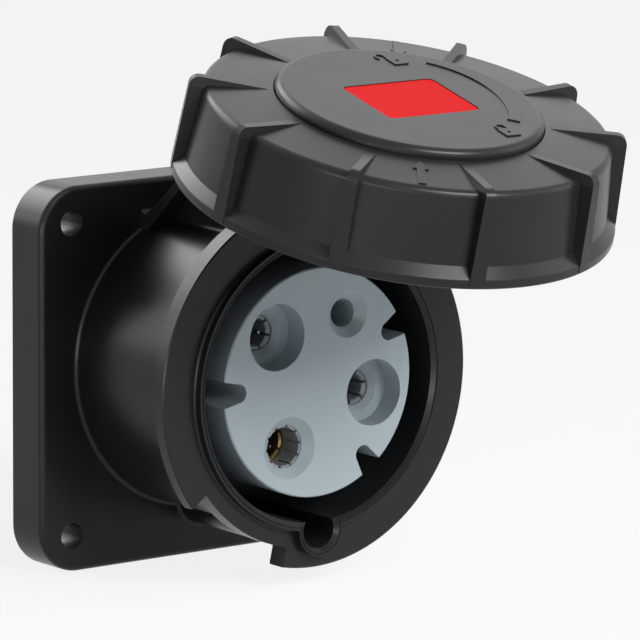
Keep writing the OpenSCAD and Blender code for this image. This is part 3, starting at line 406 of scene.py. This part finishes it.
@dataclass(frozen=True)
class LidMarks:
    """Two block arrows on the ring, and two padlocks and a turning wedge on the disc."""

    lid: LidFrame
    material: bpy.types.Material
    # the surfaces that carry the marks
    ring_edge_r: float = 60.8
    ring_edge_h: float = 27.9
    ring_inner_r: float = 41.0
    ring_rise: float = 1.3
    ring_edge_round: float = 2.2
    disc_h: float = 32.0
    # block arrows, by radius along their middle line and half width across it
    arrow_clocks: Tuple[float, float] = (33.1, 213.1)
    arrow_tip_r: float = 43.2
    arrow_shoulder_r: float = 48.4
    arrow_foot_r: float = 58.0
    arrow_head_half: float = 2.35
    arrow_stem_half: float = 1.15
    # turning wedge, by outer radius, widths, clock angles and growth along its length
    wedge_r: float = 32.6
    wedge_tip: float = 0.2
    wedge_width: float = 3.6
    wedge_from: float = 45.0
    wedge_to: float = 137.0
    wedge_full: float = 0.75
    wedge_power: float = 1.5
    wedge_steps: int = 48
    # padlocks, by the middle of their bodies
    open_centre: Tuple[float, float] = (14.4, 26.2)
    shut_centre: Tuple[float, float] = (13.5, -29.8)
    open_shackle_shift: float = -3.4

    def ring_surface(self, flat: np.ndarray) -> np.ndarray:
        """Height of the ring's top, a shallow cone that rises towards the disc."""
        radius = np.linalg.norm(flat, axis=1)
        edge = self.ring_edge_r - self.ring_edge_round
        return self.ring_edge_h + self.ring_rise * (edge - radius) / (edge - self.ring_inner_r)

    def disc_surface(self, flat: np.ndarray) -> np.ndarray:
        """Height of the disc's flat front."""
        return np.full(len(flat), self.disc_h)

    def block_arrow(self, clock: float) -> np.ndarray:
        """Outline of a block arrow that points at the disc.

        Args:
            clock: clock angle of the arrow's middle line.

        Returns:
            Its seven corners, anticlockwise.
        """
        tip, shoulder, foot = self.arrow_tip_r, self.arrow_shoulder_r, self.arrow_foot_r
        head, stem = self.arrow_head_half, self.arrow_stem_half
        side_and_out = np.array([[0, tip], [head, shoulder], [stem, shoulder], [stem, foot],
                                 [-stem, foot], [-stem, shoulder], [-head, shoulder]])
        turn = math.radians(clock)
        across = np.array([math.cos(turn), -math.sin(turn)])
        out = np.array([math.sin(turn), math.cos(turn)])
        return anticlockwise(side_and_out[:, :1] * across + side_and_out[:, 1:2] * out)

    def turning_wedge(self) -> np.ndarray:
        """Outline of the curved wedge that shows the ring's turning sense.

        It starts as a point at the open padlock and widens to its flat end at the shut one.

        Returns:
            The outline's points, anticlockwise.
        """
        share = np.linspace(0.0, 1.0, self.wedge_steps)
        angle = np.radians(self.wedge_from + (self.wedge_to - self.wedge_from) * share)
        way = np.stack([np.sin(angle), np.cos(angle)], axis=1)
        growth = np.sin(np.pi / 2 * np.minimum(share / self.wedge_full, 1.0))
        width = self.wedge_width * growth ** self.wedge_power
        inner = way * (self.wedge_r - self.wedge_tip - width)[:, None]
        return anticlockwise(np.concatenate([way * self.wedge_r, inner[::-1]]))

    def padlock(self, kind: Lock) -> List[np.ndarray]:
        """Outlines of a padlock's body and shackle.

        Args:
            kind: open or shut.

        Returns:
            One outline per raised patch, anticlockwise.
        """
        sign = Padlock()
        is_open = kind is Lock.OPEN
        centre = np.array(self.open_centre if is_open else self.shut_centre)
        shift = np.array([self.open_shackle_shift if is_open else 0.0, 0.0])
        return [anticlockwise(sign.body() + centre),
                anticlockwise(sign.shackle() + shift + centre)]

    def build(self) -> List[Tuple[bpy.types.Object, str]]:
        """Makes every mark.

        Returns:
            Each piece with the body that it rides on.
        """
        on_ring = [(f"ring_arrow_{number}", self.block_arrow(clock))
                   for number, clock in enumerate(self.arrow_clocks, 1)]
        on_disc = [("turning_mark", self.turning_wedge())]
        on_disc += [(f"padlock_{kind.value}_{number}", outline) for kind in Lock
                    for number, outline in enumerate(self.padlock(kind), 1)]
        mark = RaisedMark()
        pieces = []
        for marks, surface, body in ((on_ring, self.ring_surface, "ring"),
                                     (on_disc, self.disc_surface, "lid")):
            for name, outline in marks:
                piece = mark.build(name, outline, self.lid, surface, self.material)
                pieces.append((piece, body))
        return pieces


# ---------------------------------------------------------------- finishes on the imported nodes


@dataclass(frozen=True)
class Wardrobe:
    """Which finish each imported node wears."""

    finishes: Dict[str, Finish] = field(default_factory=lambda: {
        "black_plastic": BLACK_POLYAMIDE, "insert_plastic": GREY_POLYAMIDE,
        "contact_metal": TURNED_BRASS, "plated_metal": TIN_PLATE,
        "fastener_steel": ZINC_STEEL, "seal_rubber": SEAL_RUBBER,
        "washer_plastic": ACETAL, "plate_plastic": RED_ABS})
    spring_prefix: str = "spring_"

    def dress(self, record: Dict[str, Any],
              nodes: Dict[str, bpy.types.Object]) -> Dict[str, bpy.types.Material]:
        """Gives every node the finish of its material slot, and the springs one of their own.

        Args:
            record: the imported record.
            nodes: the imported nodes' objects by name.

        Returns:
            The materials by slot name.
        """
        materials = {slot: finish.build() for slot, finish in self.finishes.items()}
        springs = SPRING_STEEL.build()
        for part in record["subparts"]:
            name = part["node"]
            is_spring = name.startswith(self.spring_prefix)
            material = springs if is_spring else materials[part["material_slot"]]
            mesh = nodes[name].data
            mesh.materials.clear()
            mesh.materials.append(material)
            LOG.info("node %s wears %s", name, material.name)
        return materials


# ---------------------------------------------------------------- studio


@dataclass(frozen=True)
class SoftBox:
    """One rectangular soft lamp aimed at the object.

    A lamp that doesn't light matt surfaces makes highlights only.
    """

    name: str
    place: Tuple[float, float, float]
    size: Tuple[float, float]
    watts: float
    lights_matt: bool = True
    aim: Tuple[float, float, float] = (0.0, -0.06, 0.0)

    def build(self) -> None:
        """Makes the lamp and turns it to its aim."""
        light = bpy.data.lights.new(self.name, "AREA")
        light.shape = "RECTANGLE"
        light.size, light.size_y = self.size
        light.energy = self.watts
        lamp = bpy.data.objects.new(self.name, light)
        bpy.context.scene.collection.objects.link(lamp)
        lamp.visible_diffuse = self.lights_matt
        lamp.location = self.place
        towards = Vector(self.aim) - Vector(self.place)
        lamp.rotation_euler = towards.to_track_quat("-Z", "Y").to_euler()


@dataclass(frozen=True)
class Studio:
    """Pale floor, even surroundings, soft lamps and the camera.

    The camera's angles are in degrees, its lens and sensor in millimetres.
    """

    turn: float = 37.376
    rise: float = 10.085
    roll: float = 0.334
    camera_place: Tuple[float, float, float] = (-1.088647, -1.500917, 0.341388)
    lens: float = 342.27
    sensor: float = 36.0
    clip_end: float = 100.0
    surroundings: float = 0.15
    surroundings_colour: str = "#f4f6f8"
    floor_colour: str = "#f2f2f1"
    floor_white: float = 0.85
    floor_reach: float = 30.0
    lamps: Tuple[SoftBox, ...] = (
        SoftBox("key_box", (0.15, -1.7, 1.05), (0.9, 0.9), 42.0),
        SoftBox("edge_box", (-1.45, -1.15, 0.05), (1.6, 0.22), 13.0, lights_matt=False),
        SoftBox("neck_box", (-0.3, 1.45, 1.3), (1.5, 1.2), 32.0, lights_matt=False),
        SoftBox("left_box", (-1.1, 1.55, 0.55), (0.9, 0.6), 4.5, lights_matt=False),
        SoftBox("lid_box", (1.2, 1.1, 1.15), (1.4, 0.9), 2.9, lights_matt=False),
        SoftBox("side_box", (1.5, -0.9, 0.7), (0.7, 1.2), 5.0),
    )

    def pale_for_view(self, tree: bpy.types.NodeTree) -> bpy.types.NodeSocket:
        """Gives one where a ray comes from the camera, a mirror or a glass, else zero.

        Args:
            tree: the node tree that needs it.

        Returns:
            The socket with that factor.
        """
        path = add_node(tree, "ShaderNodeLightPath", {})
        first = add_node(tree, "ShaderNodeMath",
                         {0: path.outputs["Is Camera Ray"], 1: path.outputs["Is Glossy Ray"]},
                         operation="MAXIMUM")
        both = add_node(tree, "ShaderNodeMath",
                        {0: first.outputs[0], 1: path.outputs["Is Transmission Ray"]},
                        operation="MAXIMUM")
        return both.outputs[0]

    def build_world(self) -> None:
        """Makes even surroundings, dimmer for the light than for the eye."""
        world = bpy.data.worlds.new("surroundings")
        bpy.context.scene.world = world
        world.use_nodes = True
        tree = world.node_tree
        tree.nodes.clear()
        dim = add_node(tree, "ShaderNodeBackground",
                       {"Color": linear_colour(self.surroundings_colour),
                        "Strength": self.surroundings})
        pale = add_node(tree, "ShaderNodeBackground", {"Color": WHITE, "Strength": 1.0})
        both = add_node(tree, "ShaderNodeMixShader",
                        {0: self.pale_for_view(tree), 1: dim.outputs[0], 2: pale.outputs[0]})
        add_node(tree, "ShaderNodeOutputWorld", {"Surface": both.outputs[0]})

    def build_floor(self, height: float) -> None:
        """Lays the floor under the object, pale to the eye and still taking its shadow.

        Args:
            height: height of the object's lowest point.
        """
        material = bpy.data.materials.new("pale_floor")
        material.use_nodes = True
        tree = material.node_tree
        tree.nodes.clear()
        matt = add_node(tree, "ShaderNodeBsdfDiffuse", {"Color": linear_colour(self.floor_colour)})
        white = add_node(tree, "ShaderNodeEmission", {"Color": WHITE, "Strength": 1.0})
        share = add_node(tree, "ShaderNodeMath",
                         {0: self.pale_for_view(tree), 1: self.floor_white},
                         operation="MULTIPLY")
        both = add_node(tree, "ShaderNodeMixShader",
                        {0: share.outputs[0], 1: matt.outputs[0], 2: white.outputs[0]})
        add_node(tree, "ShaderNodeOutputMaterial", {"Surface": both.outputs[0]})
        reach = self.floor_reach
        corner = np.array([[-reach, -reach, height], [reach, -reach, height],
                           [reach, reach, height], [-reach, reach, height]])
        new_piece("floor", corner, [(0, 1, 2, 3)], material)

    def build_camera(self) -> None:
        """Sets the camera by its turn to the left, its rise and its roll."""
        turn, rise, roll = (math.radians(v) for v in (self.turn, self.rise, self.roll))
        back = Vector((-math.sin(turn) * math.cos(rise), -math.cos(turn) * math.cos(rise),
                       math.sin(rise)))
        right = Vector((math.cos(turn), -math.sin(turn), 0.0))
        up = back.cross(right)
        side = right * math.cos(roll) + up * math.sin(roll)
        top = up * math.cos(roll) - right * math.sin(roll)
        camera_data = bpy.data.cameras.new("camera")
        camera_data.lens = self.lens
        camera_data.sensor_width = self.sensor
        camera_data.clip_end = self.clip_end
        camera = bpy.data.objects.new("camera", camera_data)
        bpy.context.scene.collection.objects.link(camera)
        facing = Matrix((side, top, back)).transposed().to_4x4()
        camera.matrix_world = Matrix.Translation(self.camera_place) @ facing
        bpy.context.scene.camera = camera

    def build(self, floor_height: float) -> None:
        """Makes the whole studio.

        Args:
            floor_height: height of the object's lowest point.
        """
        self.build_camera()
        self.build_world()
        self.build_floor(floor_height)
        for lamp in self.lamps:
            lamp.build()
        bpy.context.scene.view_settings.view_transform = "Standard"


def main() -> None:
    """Dresses the nodes, adds the marks, sets the studio and reports each piece."""
    logging.basicConfig(level=logging.INFO, format="%(name)s: %(message)s")
    Studio().build(float(CAD_BOX[0][2]))
    materials = Wardrobe().dress(frame["record"], frame["nodes"])
    turn_joint = next(j for j in frame["joints"] if j["name"] == "ring_turn")
    marks = LidMarks(LidFrame.from_joint(turn_joint), materials["black_plastic"])
    for piece, body in marks.build():
        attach(piece, body)
        LOG.info("piece %s rides on %s", piece.name, body)


if __name__ == "__main__":
    main()
